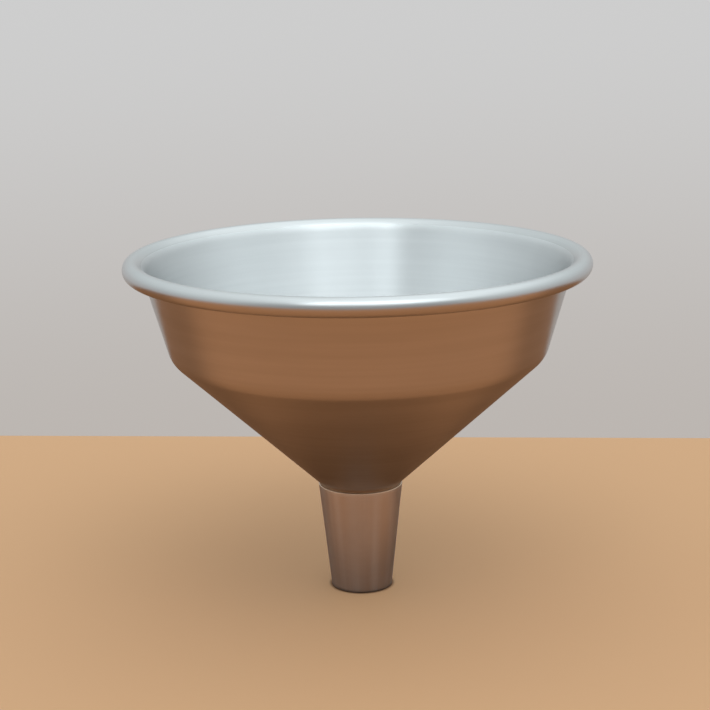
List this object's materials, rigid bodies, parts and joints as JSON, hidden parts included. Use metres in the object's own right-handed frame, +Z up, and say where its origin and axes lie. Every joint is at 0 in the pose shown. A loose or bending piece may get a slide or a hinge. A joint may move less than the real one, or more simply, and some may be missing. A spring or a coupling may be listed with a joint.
{
  "type": "funnel",
  "caption": "Satin aluminium funnel with a rolled rim, a short steep collar, a cone and a narrow tapered spout for filling bottles and small-mouthed jars.",
  "frame": {"origin": "centre of the spout's foot, on the axis of symmetry, at the level the funnel stands on", "axes": "+Z up along the axis of symmetry, from the spout's foot towards the rim; X and Y are free, because the part is a body of revolution"},
  "size_m": [0.127, 0.127, 0.095],
  "materials": {
    "bowl_metal": "satin spun aluminium, fine brush lines running round the axis, brighter inside and on the rolled rim",
    "spout_metal": "matt drawn aluminium, faint streaks running along the tube"
  },
  "bodies": {
    "root": {"bowl": "bowl_metal", "spout": "spout_metal"}
  },
  "joints": []
}
